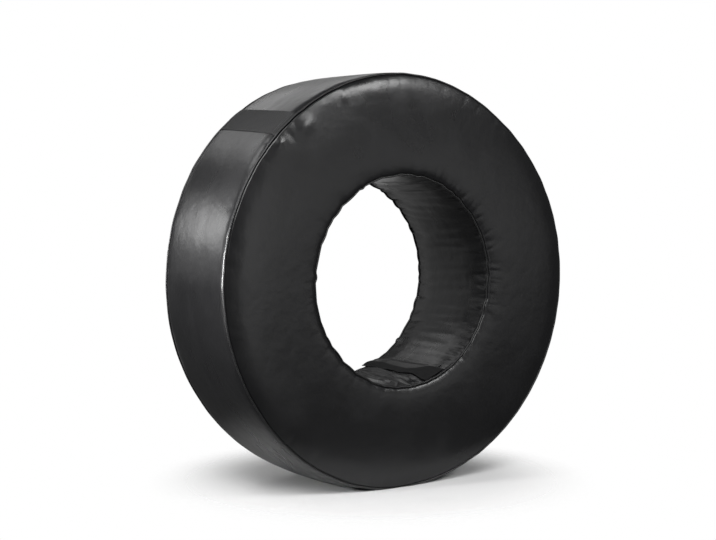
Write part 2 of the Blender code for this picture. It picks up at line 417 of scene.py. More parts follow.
class Finish(Value):
    """A material, with the patterns that several of them share."""

    def __init__(self, name, **constants):
        self.material = bpy.data.materials.new(name)
        self.material.use_nodes = True
        super().__init__(self.material.node_tree)
        self.shader = self.tree.nodes["Principled BSDF"]
        self.own = Value(self.tree, self.shader.outputs[0])
        for socket, value in constants.items():
            self.feed(self.shader.inputs[socket.replace("_", " ")], value)
        self.place = self.node("TexCoord", output="Object")

    def noise(self, scale, detail=2.0, stretch=None):
        at = self.node("Mapping", {"Vector": self.place, "Scale": stretch}) if stretch else self.place
        return self.node("TexNoise", {"Vector": at, "Scale": scale, "Detail": detail})

    def cells(self, scale):
        return self.node("TexVoronoi", {"Vector": self.place, "Scale": scale}, output="Distance")

    def ribs(self, way, scale, distortion, detail_scale=1.0):
        """Ribs across the piece's own map."""
        sockets = {"Vector": self.node("UVMap"), "Scale": scale, "Distortion": distortion}
        sockets["Detail Scale"] = detail_scale
        return self.node("TexWave", sockets, bands_direction=way, output="Fac")

    def mix(self, share, one, other):
        return self.node("Mix", {"Factor": share, "A": one, "B": other}, output="Result", data_type="RGBA")

    def show(self, share, one, other):
        """Shows one shader where the share is 0 and the other where it is 1."""
        both = self.node("MixShader", {0: share, 1: one, 2: other})
        self.feed(self.tree.nodes["Material Output"].inputs["Surface"], both)

    def paint(self, colour=None, roughness=None, height=None):
        if colour is not None:
            self.feed(self.shader.inputs["Base Color"], colour)
        if roughness is not None:
            self.feed(self.shader.inputs["Roughness"], roughness)
        if height is not None:
            bump = self.node("Bump", {"Height": height, "Strength": 1.0, "Distance": 1.0})
            self.feed(self.shader.inputs["Normal"], bump)
        return self.material


def tinted(colour, factor):
    return tuple(min(1.0, c * factor) for c in colour)


VINYL_IOR = 1.45
COVER_ROUGHNESS = 0.3
PIPING_ROUGHNESS = 0.42


def make_vinyl(name, colour, roughness):
    """Satin coated cloth: fine grain, soft waviness, smudges and a few wiped streaks."""
    paint = Finish(name, IOR=VINYL_IOR)
    grain = paint.noise(900.0, 3.0)
    weave = paint.noise(330.0, 1.0)
    soft = paint.noise(28.0, 2.0)
    streaks = paint.noise(1.0, 1.0, stretch=(3.0, 34.0, 3.0))
    smudge = paint.noise(7.0, 4.0).above(0.42, 0.66)
    rub = paint.noise(45.0, 1.0).above(0.55, 0.85) * paint.noise(9.0, 1.0).above(0.45, 0.7)
    worn = smudge * 0.5 + rub * 0.5
    shade = paint.mix(worn, tinted(colour, 0.92), tinted(colour, 1.25))
    dullness = roughness + smudge * 0.05 + rub * 0.05 + streaks * 0.06 - 0.05
    height = grain * 0.00004 + weave * 0.00003 + soft * 0.0009 + streaks * 0.00008
    return paint.paint(shade, dullness, height)


def make_webbing(colour):
    """Flat woven webbing: two courses of yarn crossing, from the strap's own map in metres."""
    paint = Finish("strap webbing", Specular_IOR_Level=0.4)
    weft = paint.ribs("Y", 260.0, 0.6, 3.0)
    warp = paint.ribs("X", 210.0, 0.5, 3.0)
    fuzz = paint.noise(1500.0)
    dust = paint.noise(14.0, 3.0).above(0.45, 0.7)
    # The colour is lighter along the weft's rib crests: a painted highlight on the ribs and painted shade in
    # the grooves between them. The dust is lighter at random and is real.
    shade = paint.mix(weft * 0.5 + dust * 0.4, tinted(colour, 0.65), tinted(colour, 1.35))
    height = (weft * warp) * 0.00022 + fuzz * 0.00006
    return paint.paint(shade, 0.82 + fuzz * 0.1, height)


def make_tape(colour):
    """Hook and loop tape: a dull nap of tiny loops."""
    paint = Finish("hook and loop nap", Specular_IOR_Level=0.2)
    cells = paint.cells(1100.0)
    fuzz = paint.noise(700.0, 3.0)
    # The loop tops, which the bump raises, are painted lighter and the gaps between them darker: painted
    # highlights and painted shade in the nap.
    shade = paint.mix(cells.above(0.1, 0.7), tinted(colour, 1.6), tinted(colour, 0.6))
    return paint.paint(shade, 0.9, (1 - cells) * 0.0004 + fuzz * 0.0002)


def make_thread(colour):
    """Twisted polyester thread."""
    paint = Finish("bonded thread", Roughness=0.6)
    ply = paint.ribs("DIAGONAL", 2.0, 0.2)
    # The twist's raised plies are painted lighter and its grooves darker: painted highlight and painted shade
    # along the thread.
    shade = paint.mix(ply, tinted(colour, 0.6), tinted(colour, 1.4))
    return paint.paint(shade, None, ply * 0.00008)


def make_foam(name, colour, cell_size, depth):
    """Cut foam with open or closed cells and a little uneven yellowing."""
    paint = Finish(name, Roughness=0.9, Subsurface_Weight=0.05, Subsurface_Radius=(0.002, 0.002, 0.002))
    pores = paint.cells(1 / cell_size).above(0.15, 0.6)
    aged = paint.noise(5.0, 3.0).above(0.4, 0.7)
    base = paint.mix(aged * 0.5, colour, (colour[0] * 0.95, colour[1] * 0.9, colour[2] * 0.75))
    # The low parts of the cell pattern, which the bump sinks, are painted darker: painted shade in the pores.
    # The yellowing is the foam's own.
    shade = paint.mix(pores * 0.25, base, tinted(colour, 0.6))
    return paint.paint(shade, None, (1 - pores) * depth)


class WHEEL_OT_add_materials(bpy.types.Operator):
    """Makes the vinyl that the cover's panels share"""

    bl_idname = "wheel.add_materials"
    bl_label = "Make Vinyl"

    def execute(self, context):
        make_vinyl("black vinyl", tuple(finish().vinyl), COVER_ROUGHNESS)
        return {"FINISHED"}


# Foam

SOFT_CORNER = 0.0025
FACE_PAD_SLACK = 0.0025

# Half outlines as (radius, y), from the middle of the rear side's inner edge round to the cover
TREAD_PAD_OUTLINE = [
    (0.4768, 0.0), (0.4768, 0.07), (0.4768, 0.1495), (0.485, 0.1475), (0.492, 0.1445), (0.496, 0.1415),
    (0.5, 0.1385), (0.5035, 0.132), (0.5045, 0.12), (0.505, 0.09), (0.505, 0.045), (0.505, 0.012),
]
BORE_PAD_OUTLINE = [
    (0.2747, 0.0), (0.2747, 0.07), (0.2747, 0.1485), (0.27, 0.1465), (0.267, 0.1435), (0.2645, 0.14),
    (0.262, 0.1375), (0.2575, 0.132), (0.2575, 0.12), (0.2575, 0.09), (0.2575, 0.045), (0.2575, 0.012),
]


class WHEEL_OT_add_foam(bpy.types.Operator):
    """Adds the five firm slabs and the four soft pads of the stuffing"""

    bl_idname = "wheel.add_foam"
    bl_label = "Add Foam"

    def execute(self, context):
        firm = make_foam("closed cell foam", tuple(finish().firm_foam), 0.0016, 0.00012)
        soft = make_foam("open cell foam", tuple(finish().soft_foam), 0.0011, 0.0003)
        for seed in range(5):
            self.add_slab(f"core_slab_{seed + 1}", seed, firm, "firm_foam", 0.0)
        for seed, (end, _) in enumerate(ENDS, 5):
            self.add_slab(f"{end}_face_pad", seed, soft, "soft_foam", FACE_PAD_SLACK)

        def under_tread(around, radius, y):
            share = between(0.485, 0.498, radius)
            return radius + share * (tread_radius(around, y) - TREAD_RADIUS), y

        def under_bore(around, radius, y):
            share = between(0.274, 0.264, radius)
            sunk = 0.009 * between(30, 20, np.abs(turn_from(around, -80)))
            return radius + share * (bore_level(around, y) - sizes().bore_radius + sunk), y

        self.add_pad("tread_pad", TREAD_PAD_OUTLINE, under_tread, soft)
        self.add_pad("bore_pad", BORE_PAD_OUTLINE, under_bore, soft)
        return {"FINISHED"}

    def add_slab(self, node, seed, material, slot, slack):
        """A cut ring of foam with soft corners and a slightly wandering knife line."""
        radii, _, _ = off_wheel(points_of(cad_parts[node]))
        inner, outer = float(radii.min()), float(radii.max())
        low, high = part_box(node)
        near, far = low.y + slack * (low.y < 0), high.y - slack * (high.y > 0)
        middle_radius, middle_y = (inner + outer) / 2, (near + far) / 2
        outline = []
        for n, (r, y) in enumerate(((outer, far), (inner, far), (inner, near), (outer, near))):
            in_r = math.copysign(SOFT_CORNER, middle_radius - r)
            in_y = math.copysign(SOFT_CORNER, middle_y - y)
            spots = [(r, y + in_y), (r + 0.3 * in_r, y + 0.3 * in_y), (r + in_r, y)]
            outline += reversed(spots) if n % 2 else spots

        def cut(around, radius, y):
            wander = 0.5 * MM * waves(around, 40 + seed, 5, 40, 10)
            inward = np.where(radius > middle_radius, -1.0, 1.0)
            return radius + inward * (np.abs(wander) + 0.2 * MM), y

        piece = ring(f"{node}_foam", 144, outline, cut)
        dress(piece, material, "wheel", [node])

    def add_pad(self, node, outline, follow, material):
        """The sponge under the tread or the bore, which follows the cover over it."""
        outline = outline + [(r, -y) for r, y in reversed(outline)]
        piece = ring(f"{node}_foam", 240, outline, follow)
        set_points(piece, rest_on_floor(points_of(piece), 0.0015))
        dress(piece, material, "wheel", [node])


def gathers(around, distance, radius, seed, spacing, depth, width, reach, lean):
    """How deep random gathers pull the cloth in, by the angle around and the distance from a seam."""
    length = math.tau * radius
    random = np.random.default_rng(seed)
    count = int(length / spacing)
    places = (np.arange(count) + random.uniform(-0.35, 0.35, count)) * length / count
    depths = depth * random.uniform(0.25, 1.0, count) ** 1.3
    widths = width * random.uniform(0.7, 1.6, count)
    reaches = reach * random.uniform(0.4, 1.3, count)
    leans = random.uniform(-lean, lean, count)
    near = distance < reaches.max() * 2.4
    along, off = (np.radians(around) % math.tau * radius)[near], distance[near]
    found = np.zeros_like(along)
    for place, depth, width, reach, lean in zip(places, depths, widths, reaches, leans):
        aside = (along - place - lean * off + length / 2) % length - length / 2
        spread = width * (1 + 0.8 * off / reach)
        found += depth * np.exp(-((off / reach) ** 2)) / (1 + (aside / spread) ** 2) ** 2
    total = np.zeros_like(around)
    total[near] = found
    return total


# The cloth's settings in their order, because shrink_max, which comes last, clips shrink_min
VINYL_CLOTH = {
    "quality": 6, "mass": 0.4, "tension_stiffness": 15, "compression_stiffness": 15, "shear_stiffness": 8,
    "bending_stiffness": 0.8, "use_pressure": True, "vertex_group_mass": "held", "pin_stiffness": 1.0,
    "vertex_group_shrink": "loose", "shrink_min": 0.0,
}
SETTLE_FRAMES = 20


def settle(obj, pins, spare, pressure, cap, stretch):
    """Lets a panel swell and buckle as cloth over its foam, moves no point further than cap."""
    take(obj)
    rest = points_of(obj)
    held = obj.vertex_groups.new(name="held")
    loose = obj.vertex_groups.new(name="loose")
    for index, (pin, slack) in enumerate(zip(pins, spare)):
        if pin > 0:
            held.add([index], float(pin), "REPLACE")
        loose.add([index], float(slack), "REPLACE")
    cloth = obj.modifiers.new("Cloth", "CLOTH")
    set_all(cloth.settings, {**VINYL_CLOTH, "uniform_pressure_force": pressure, "shrink_max": -stretch})
    cloth.settings.effector_weights.gravity = 0.0
    cloth.collision_settings.use_collision = False
    set_all(cloth.point_cache, {"frame_start": 1, "frame_end": SETTLE_FRAMES})
    for step in range(1, SETTLE_FRAMES + 1):
        bpy.context.scene.frame_set(step)
    bpy.ops.object.modifier_apply(modifier=cloth.name)
    moved = points_of(obj) - rest
    far = np.linalg.norm(moved, axis=1, keepdims=True)
    set_points(obj, rest + moved * (cap * np.tanh(far / cap) / np.maximum(far, 1e-9)))
    obj.vertex_groups.clear()
    bpy.context.scene.frame_set(1)


def settled(panel, pins, spare, **swelling):
    """Settles a panel and subdivides it once, and gives its points off the wheel."""
    settle(panel, pins, spare, **swelling)
    finish_with(panel, "SUBSURF", levels=1, render_levels=1)
    return off_wheel(points_of(panel))


def cover(panel, points, node):
    """Gives a panel its last shape, its thickness and its vinyl, in place of a CAD node."""
    set_points(panel, rest_on_floor(points))
    give_thickness(panel, sizes().vinyl_thickness)
    dress(panel, bpy.data.materials["black vinyl"], "wheel", [node])


# Cover


# How wide and how deep the front face is drawn in towards the bore, in mm, at each angle
BORE_ROLL = ((180, 15), (120, 13), (80, 13), (45, 16), (0, 20), (-35, 28), (-60, 30), (-90, 26), (-130, 16))
BORE_DRAWN = ((180, 7.4), (80, 7.2), (0, 8), (-60, 8.8), (-90, 8.4), (-130, 7.6))
SLIT_AROUND = -62.0
SLIT_HALF_TURN = 0.45
CLOSURE_AROUND = -70
# How far a panel's edge stops short of the middle of its seam
SEAM_GAP = 0.0033
# How an edge's last two rows turn in behind the piping. On a face: past the edge, and towards the
# middle plane. On a band: into the wheel, and along Y.
FACE_TUCK = np.array([(0, 0.0003, 0.002), (0, 0.0022, 0.005)])
BAND_TUCK = np.array([(0, 0.0022, 0.006), (0, 0.0004, -0.001)])
# Gathers from each seam: their spacing, depth, width and reach in metres, and how far they lean
RIM_GATHERS = (0.045, 0.0007, 0.007, 0.03, 0.35)
LIP_GATHERS = (0.017, 0.0014, 0.0045, 0.03, 0.2)
TREAD_GATHERS = (0.035, 0.0011, 0.006, 0.02, 0.2)
BORE_GATHERS = (0.021, 0.0026, 0.0042, 0.07, 0.16)
BORE_PUCKERS = (0.013, 0.0016, 0.003, 0.03, 0.2)
# Puckers at the upper left rim, where the handle's end is sewn in, and the tuck beside them: angle,
# distance from the rim, height, and half-widths along the rim and across it
FRONT_MARKS = (
    (128.5, 0.034, -0.0036, 0.024, 0.017),
    (137.5, 0.017, -0.0026, 0.010, 0.009),
    (133.6, 0.022, 0.0009, 0.008, 0.014),
    (118.0, 0.020, -0.0008, 0.034, 0.014),
    (112.6, 0.024, -0.0012, 0.011, 0.014),
)


def rows_across(across, rows):
    """The share from 0 to 1 of each row of a panel, and how many rows past either edge it is."""
    step = np.round(across * rows).astype(int)
    share = np.clip((step - 2) / (rows - 4), 0, 1)
    return share, np.clip(2 - step, 0, 2), np.clip(step - (rows - 2), 0, 2)


def face_level(radius, around, side):
    """How far a face stands from the middle plane: level, and drawn in towards both its seams."""
    if side < 0:
        width, depth = round_the_wheel(FACE_ROLL, around, 1.5), round_the_wheel(FACE_DRAWN, around, 1.5)
        lip_width = round_the_wheel(BORE_ROLL, around, 8.0)
        lip_depth = round_the_wheel(BORE_DRAWN, around, 8.0)
    else:
        width, depth = 0.03, 0.0075
        lip_width, lip_depth = 0.026, 0.0084
    outside = np.clip((outer_seam(around, side) - radius) / width, 0, 1)
    inside = np.clip((radius - bore_seam(around, side)) / lip_width, 0, 1)
    drawn = depth * (1 - outside) ** 2.2 + lip_depth * (1 - inside) ** 2.2
    return sizes().seam_level + 0.0068 - drawn


class WHEEL_OT_add_faces(bpy.types.Operator):
    """Adds the flat vinyl ring of each face"""

    bl_idname = "wheel.add_faces"
    bl_label = "Add Face Covers"

    def execute(self, context):
        for (end, side), seed in zip(ENDS, (60, 70)):
            piece = self.add_face(end, side, seed)
        return {"FINISHED"}

    def add_face(self, end, side, seed):
        rows = 25

        def place(along, across):
            around = -90 + 360 * along
            seam_y = side * sizes().seam_level
            rim, lip = outer_seam(around, seam_y) - SEAM_GAP, bore_seam(around, seam_y) + SEAM_GAP
            share, past_rim, past_lip = rows_across(across, rows)
            radius = rim + (lip - rim) * (share - 0.078 * np.sin(math.tau * share))
            (rim_back, rim_down), (lip_back, lip_down) = FACE_TUCK[:, past_rim], FACE_TUCK[:, past_lip]
            level = face_level(radius, around, side) - rim_down - lip_down
            return on_wheel(radius - rim_back + lip_back, around, side * level)

        piece = grid(f"{end}_face_panel", 400, rows, place, closed=True)
        face_out(piece, (0, side, 0))
        radius, around, y = off_wheel(points_of(piece))
        edge = np.minimum(outer_seam(around, y) - radius, radius - bore_seam(around, y))
        pins = np.where(edge < 0.0055, 1.0, 0.12 * between(0.02, 0.06, edge))
        spare = 1 - between(0.012, 0.06, edge)
        radius, around, y = settled(piece, pins, spare, pressure=2.0, cap=0.004, stretch=0.025)
        from_rim, from_lip = outer_seam(around, y) - radius, radius - bore_seam(around, y)
        rim = gathers(around, from_rim, sizes().tread_seam_radius, seed, *RIM_GATHERS)
        lip = gathers(around, from_lip, sizes().bore_seam_radius, seed + 1, *LIP_GATHERS)
        lip *= 0.3 + 0.7 * between(80, 50, np.abs(turn_from(around, 5)))
        y = y - side * (rim + lip) * between(0.002, 0.009, np.minimum(from_rim, from_lip))
        if side < 0:
            inwards = outer_seam(around, side) - radius
            for place, off, height, wide, deep in FRONT_MARKS:
                aside = np.radians(turn_from(around, place)) * sizes().tread_seam_radius
                y += height * np.exp(-((aside / wide) ** 2) - (((inwards - off) / deep) ** 2))
        cover(piece, on_wheel(radius, around, y), f"{end}_face_cover")
        return piece


def band(name, columns, rows, around_at, level_at, easing, inwards, closed):
    """A band between the seams at level_at(around, y). Inwards is 1 where the foam is outside it."""

    def place(along, across):
        share, past_front, past_rear = rows_across(across, rows)
        share = share * 2 - 1
        share = share + easing * np.sin(math.pi * share)
        around, y = around_at(along), (sizes().seam_level - SEAM_GAP) * share
        deep, over = BAND_TUCK[:, past_front + past_rear]
        radius = level_at(around, y) + inwards * deep
        return rest_on_floor(on_wheel(radius, around, y + np.sign(share) * over))

    piece = grid(name, columns, rows, place, closed)
    face_out(piece, -inwards * points_of(piece) * FROM_AXIS)
    return piece


def from_edge(y):
    """How far each point of a band is from the nearer edge."""
    return sizes().seam_level - SEAM_GAP - np.abs(y)


def band_gathers(around, y, radius, seeds, *kinds):
    """The depth of the gathers that start at both seams of a band."""
    depth = np.zeros_like(around)
    for (_, side), seed in zip(ENDS, seeds):
        for n, kind in enumerate(kinds):
            depth += gathers(around, sizes().seam_level - SEAM_GAP - side * y, radius, seed + n, *kind)
    return depth


class WHEEL_OT_add_tread(bpy.types.Operator):
    """Adds the vinyl band round the outside"""

    bl_idname = "wheel.add_tread"
    bl_label = "Add Tread Cover"

    def execute(self, context):
        def around_at(along):
            return -90 + 360 * along

        piece = band("tread_panel", 380, 28, around_at, tread_radius, easing=0.1, inwards=-1, closed=True)
        points = points_of(piece)
        radius, around, y = off_wheel(points)
        edge = from_edge(y)
        turned_in = radius < tread_radius(around, y) - 0.001
        on_floor = points[:, 2] < FLOOR_LEVEL + 0.004
        pins = np.where((edge < 0.0005) | turned_in | on_floor, 1.0, 0.1 * between(0.015, 0.05, edge))
        spare = 1 - between(0.01, 0.06, edge)
        radius, around, y = settled(piece, pins, spare, pressure=2.5, cap=0.0035, stretch=0.02)
        depth = band_gathers(around, y, sizes().tread_seam_radius, (80, 90), TREAD_GATHERS)
        depth *= between(0.0, 0.006, from_edge(y))
        cover(piece, on_wheel(radius - depth, around, y), "tread_cover")
        return {"FINISHED"}


# Slack folds below the closure: their angles at the rear and at the front, the y of both ends, and
# their height in mm and half-width in degrees
FOLDS = (
    (-73.2, -79.4, 0.155, -0.105, 6.0, 0.85),
    (-76.8, -84.4, 0.152, -0.125, 5.5, 0.8),
    (-80.8, -87.6, 0.145, -0.020, 5.0, 0.75),
    (-85.2, -92.5, 0.14, -0.050, 6.0, 0.9),
    (-85.0, -96.0, -0.090, -0.145, 4.0, 0.9),
)
# Hollows between them: angle, y, depth in mm, and half-widths around in degrees and along in metres
HOLLOWS = (
    (-88.8, -0.062, 7.0, 2.2, 0.022),
    (-70.5, -0.126, 6.0, 4.5, 0.014),
    (-80.5, -0.118, 4.0, 3.0, 0.016),
)


def bore_level(around, y):
    """The radius of the gathered band: level in the middle and drawn out towards both seams."""
    across = between(sizes().seam_level - 0.07, sizes().seam_level + 0.004, np.abs(y))
    level = sizes().bore_radius + (bore_seam(around, y) - sizes().bore_radius) * across
    away = between(8, 18, np.abs(turn_from(around, CLOSURE_AROUND)))
    uneven = 1.2 * MM * waves(around, 31, 3, 14, 6) * (1 - across) * away
    return level - uneven


def folds(around, y):
    """How far the slack vinyl stands up in its folds, and sinks in the hollows between them."""
    height = np.zeros_like(around, dtype=float)
    for n, (rear, front, far, near, lift, half) in enumerate(FOLDS):
        share = np.clip((far - y) / (far - near), 0, 1)
        path = rear + (front - rear) * share + 0.35 * np.sin(y * 45 + n * 2.1)
        aside = np.abs(turn_from(around, path)) / half
        ends = between(near - 0.02, near + 0.03, y) * between(far + 0.01, far - 0.02, y)
        height += lift * MM * (0.8 + 0.2 * np.sin(y * 31 + n * 1.7)) * np.exp(-(aside**2)) * ends
    for place, middle, depth, wide, long in HOLLOWS:
        height -= depth * MM * np.exp(-((turn_from(around, place) / wide) ** 2) - ((y - middle) / long) ** 2)
    return height


class WHEEL_OT_add_bore(bpy.types.Operator):
    """Adds the gathered vinyl band in the hole, with its slit and slack folds"""

    bl_idname = "wheel.add_bore"
    bl_label = "Add Bore Cover"

    def execute(self, context):
        arc = SLIT_AROUND + SLIT_HALF_TURN, 262, SLIT_AROUND - SLIT_HALF_TURN + 360

        def around_at(along):
            """The columns stand closer where the slack folds are."""
            return np.interp(along, (0, 0.72, 1), arc)

        piece = band("bore_panel", 400, 30, around_at, bore_level, easing=0.08, inwards=1, closed=False)
        radius, around, y = off_wheel(points_of(piece))
        edge = from_edge(y)
        calm = 1 - between(10, 20, np.abs(turn_from(around, CLOSURE_AROUND)))
        turned_in = radius > bore_level(around, y) + 0.001
        pins = np.where((edge < 0.0005) | turned_in | (calm > 0.99), 1.0, 0.12 * between(0.012, 0.05, edge))
        pins, spare = np.maximum(pins, calm), 1 - between(0.01, 0.055, edge)
        radius, around, y = settled(piece, pins, spare, pressure=2.0, cap=0.005, stretch=0.05)
        edge = from_edge(y)
        depth = band_gathers(around, y, sizes().bore_radius, (100, 110), BORE_GATHERS, BORE_PUCKERS)
        depth *= between(-0.002, 0.006, edge) * between(5, 9, np.abs(turn_from(around, -64)))
        raised = folds(around, y) * between(0.0, 0.008, edge)
        lean = np.degrees(0.5 * np.maximum(raised, 0) / radius)
        cover(piece, on_wheel(radius + depth - raised, around + lean, y), "bore_cover")
        return {"FINISHED"}


class WHEEL_OT_add_piping(bpy.types.Operator):
    """Adds the cord in each of the four seams"""

    bl_idname = "wheel.add_piping"
    bl_label = "Add Piping"

    def execute(self, context):
        material = make_vinyl("piping vinyl", tuple(finish().piping), PIPING_ROUGHNESS)
        turns = np.arange(10) * math.tau / 10
        thick = sizes().piping_radius
        seams = (("outer", outer_seam, -0.0004, 480), ("bore", bore_seam, 0.0004, 360))
        for end, side in ENDS:
            level = side * (sizes().seam_level - 0.0006)
            for seam, seam_at, set_back, columns in seams:

                def follow(around, radius, y):
                    return radius + seam_at(around, level), y + level

                outline = [(set_back + thick * math.cos(t), thick * math.sin(t)) for t in turns]
                piece = ring(f"{end}_{seam}_cord", columns, outline, follow)
                set_points(piece, rest_on_floor(points_of(piece)))
                dress(piece, material, "wheel", [f"{end}_{seam}_piping"])
        return {"FINISHED"}


# Handle

HANDLE_AROUND = 130.8
HANDLE_SLANT = 0.027
HANDLE_RISE = 0.0004
# The y of the hinges at the sewn ends, and how far the blended crease reaches from the middle
HANDLE_HINGE = 0.129
HANDLE_CREASE = 0.012
# How far the rear end's thin tongue reaches under the strap
TONGUE_LENGTH = 0.012
RIB_COUNT = 19


def handle_around(across, y):
    """The angle of a spot on the webbing, which is sewn on a little askew."""
    slant = HANDLE_SLANT * y / (2 * sizes().seam_level)
    return HANDLE_AROUND + np.degrees((across - slant) / TREAD_RADIUS)


def webbing_strip(name, near, far, rows, tongue=None):
    """A length of ribbed webbing on the tread, from one y to another, thin where y is below the tongue's."""
    width, thick = sizes().handle_width, sizes().handle_thickness

    def place(along, across):
        y = near + (far - near) * across
        around = handle_around((along - 0.5) * width, y)
        rib = np.cos(along * math.tau * RIB_COUNT) * 0.00035
        selvedge = 0.0006 * between(0.46, 0.5, np.abs(along - 0.5))
        top = HANDLE_RISE + thick + rib - selvedge
        if tongue:
            top = np.where(y < tongue, 0.0003, top)
        return on_wheel(tread_radius(around, y) + top, around, y)

    piece = grid(name, RIB_COUNT * 6, rows, place)
    _, around, y = off_wheel(points_of(piece))
    set_map(piece, np.stack([np.radians(around) * TREAD_RADIUS, y], -1))
    face_out(piece, points_of(piece) * FROM_AXIS)
    if tongue:
        full = piece.vertex_groups.new(name="full")
        full.add([int(i) for i in np.flatnonzero(y >= tongue)], 1.0, "REPLACE")
        by_group = {"vertex_group": "full", "thickness_vertex_group": 0.1}
        finish_with(piece, "SOLIDIFY", thickness=thick, offset=-1.0, **by_group)
    else:
        give_thickness(piece, thick)
    return piece


def spot_on_tread(y):
    return spot(0.509, HANDLE_AROUND, y)


class WHEEL_OT_add_handle(bpy.types.Operator):
    """Adds the webbing across the tread, sewn down at both ends"""

    bl_idname = "wheel.add_handle"
    bl_label = "Add Carry Handle"

    def execute(self, context):
        material = make_webbing(tuple(finish().webbing))
        end, hinge, crease = sizes().seam_level - 0.0028, HANDLE_HINGE, HANDLE_CREASE
        front = webbing_strip("handle_front_strap", -end, -crease, 60)
        dress(front, material, None, ["handle_front_tail", "handle_front_half"])
        before, after = spot_on_tread(-hinge - 0.005), spot_on_tread(-hinge + 0.006)
        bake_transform(front)
        rear = webbing_strip("handle_rear_strap", -crease, hinge - 0.0006, 66)
        dress(rear, material, None, ["handle_rear_half"])
        spot_on_tread(-crease)
        spot_on_tread(crease)
        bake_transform(rear)
        tail = webbing_strip("handle_rear_end", hinge - TONGUE_LENGTH, end, 16, tongue=hinge - 0.0004)
        dress(tail, material, "wheel", ["handle_rear_tail"])
        return {"FINISHED"}


# Stitching

THREAD_RADIUS = 0.0004
# The y of the two rows of stitches across each end of the handle, and half the length of a row
# there and along the hem
HANDLE_ROWS = (0.1325, 0.1385)
HANDLE_ROW_REACH = 0.034
HEM_ROW_REACH = 0.112


def thread_stitch(length):
    """One stitch along X that dips into the cloth at both ends."""
    clear_selection()
    bpy.ops.mesh.primitive_cylinder_add(
        vertices=8, radius=THREAD_RADIUS, depth=length, end_fill_type="TRIFAN", rotation=(0, math.pi / 2, 0),
    )
    stitch = bpy.context.object
    bpy.ops.object.transform_apply(location=True, rotation=True, scale=True)
    for cut in (0, 0.3, -0.3):
        edit(stitch, (bpy.ops.mesh.bisect, {"plane_co": (cut * length, 0, 0), "plane_no": (1, 0, 0)}))
    points = points_of(stitch)
    share = np.abs(points[:, 0]) / (length / 2)
    points[:, 2] -= THREAD_RADIUS * 1.6 * share**3
    set_points(stitch, points)
    return stitch


def sew(name, stitch, places):
    """Copies one stitch to every place, given as origin, direction and outward normal, as one piece."""
    copies = []
    shape = points_of(stitch)
    for origin, direction, normal in places:
        x = Vector(direction).normalized()
        z = Vector(normal).normalized()
        y = z.cross(x).normalized()
        z = x.cross(y)
        copy = stitch.copy()
        copy.data = stitch.data.copy()
        bpy.context.scene.collection.objects.link(copy)
        set_points(copy, np.array(origin) + shape @ np.array([x, y, z]))
        copies.append(copy)
    bpy.data.objects.remove(stitch)
    clear_selection()
    for copy in copies:
        copy.select_set(True)
    bpy.context.view_layer.objects.active = copies[0]
    bpy.ops.object.join()
    piece = copies[0]
    piece.name = piece.data.name = name
    bpy.ops.object.shade_smooth()
    return piece


class WHEEL_OT_add_stitching(bpy.types.Operator):
    """Adds the rows of stitches at the handle's ends and along the closure's hem"""

    bl_idname = "wheel.add_stitching"
    bl_label = "Add Stitching"

    def execute(self, context):
        material = make_thread(tuple(finish().thread))
        for end, side in ENDS:
            places = []
            for y in HANDLE_ROWS:
                for across in np.arange(-HANDLE_ROW_REACH, HANDLE_ROW_REACH + TINY, 0.004):
                    around = handle_around(across, side * y)
                    radius = tread_radius(around, side * y) + HANDLE_RISE + sizes().handle_thickness + 0.0002
                    origin, ahead = (on_wheel(radius, around + turn, side * y) for turn in (0, 0.2))
                    places.append((origin, ahead - origin, origin * FROM_AXIS))
            piece = sew(f"handle_{end}_stitches", thread_stitch(0.0036), places)
            dress(piece, material, "wheel", [f"handle_{end}_stitching"])
        low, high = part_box("closure_stitching")
        centre = (low + high) / 2
        around = math.degrees(math.atan2(centre.z, centre.x))
        places = []
        for y in np.arange(-HEM_ROW_REACH, HEM_ROW_REACH + TINY, 0.0045):
            level = bore_level(np.array([around]), np.array([y]))[0]
            origin = on_wheel(level - 0.0013, around, y)
            places.append((origin, (0, 1, 0), -origin * FROM_AXIS))
        piece = sew("closure_stitches", thread_stitch(0.0038), places)
        dress(piece, material, "wheel", ["closure_stitching"])
        return {"FINISHED"}


# Closure

TAPE_THICKNESS = 0.0008
FLAP_THICKNESS = 0.0012


def cad_arc(node):
    """The first and the last angle around and the half-length of a CAD strip in the bore."""
    _, around, y = off_wheel(points_of(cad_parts[node]))
    return float(around.max()), float(around.min()), float(np.abs(y).max())


def arc_strip(name, start, stop, columns, near, far, rows, height, thickness, overhang=0.0):
    """A strip in the bore from one angle to another, stop(y), whose underside is height(around, y) off it."""

    def place(along, across):
        y = near + (far - near + overhang * along) * across
        around = start + (stop(y) - start) * along
        return on_wheel(bore_level(around, y) - height(around, y) - thickness, around, y)

    piece = grid(name, columns, rows, place)
    face_out(piece, -points_of(piece) * FROM_AXIS)
    give_thickness(piece, thickness)
    return piece


def even_strip(name, node, columns, height):
    """A strip of even width and height over a CAD strip, and its half-length."""
    start, stop, half = cad_arc(node)
    strip = arc_strip(
        name, start, lambda y: stop, columns, -half, half, 60, lambda around, y: height, TAPE_THICKNESS,
    )
    return strip, half


# The y of the flap's two ends, and how much longer it is at its free edge than at its root
FLAP_FRONT = -0.139
FLAP_REAR = 0.149
FLAP_OVERHANG = 0.01
# Where the flap's root of plain vinyl ends and its dull lining cloth begins, as (y, degrees)
FLAP_BORDER = (
    (-0.139, -60), (-0.1, -60.5), (-0.089, -61.3), (-0.05, -66), (-0.023, -67.4), (0.037, -66.9),
    (0.097, -64.9), (0.15, -64.5),
)
# The angle of the flap's free edge, as (y, degrees)
FLAP_EDGE = (
    (-0.139, -74.6), (-0.105, -73.8), (-0.065, -72.6), (-0.018, -73.2), (0.052, -72.9), (0.15, -71.8),
)


def flap_edge(y):
    """The angle of the flap's wavy free edge."""
    levels, angles = zip(*FLAP_EDGE)
    return np.interp(y, levels, angles) + 0.25 * np.sin(y * 75)


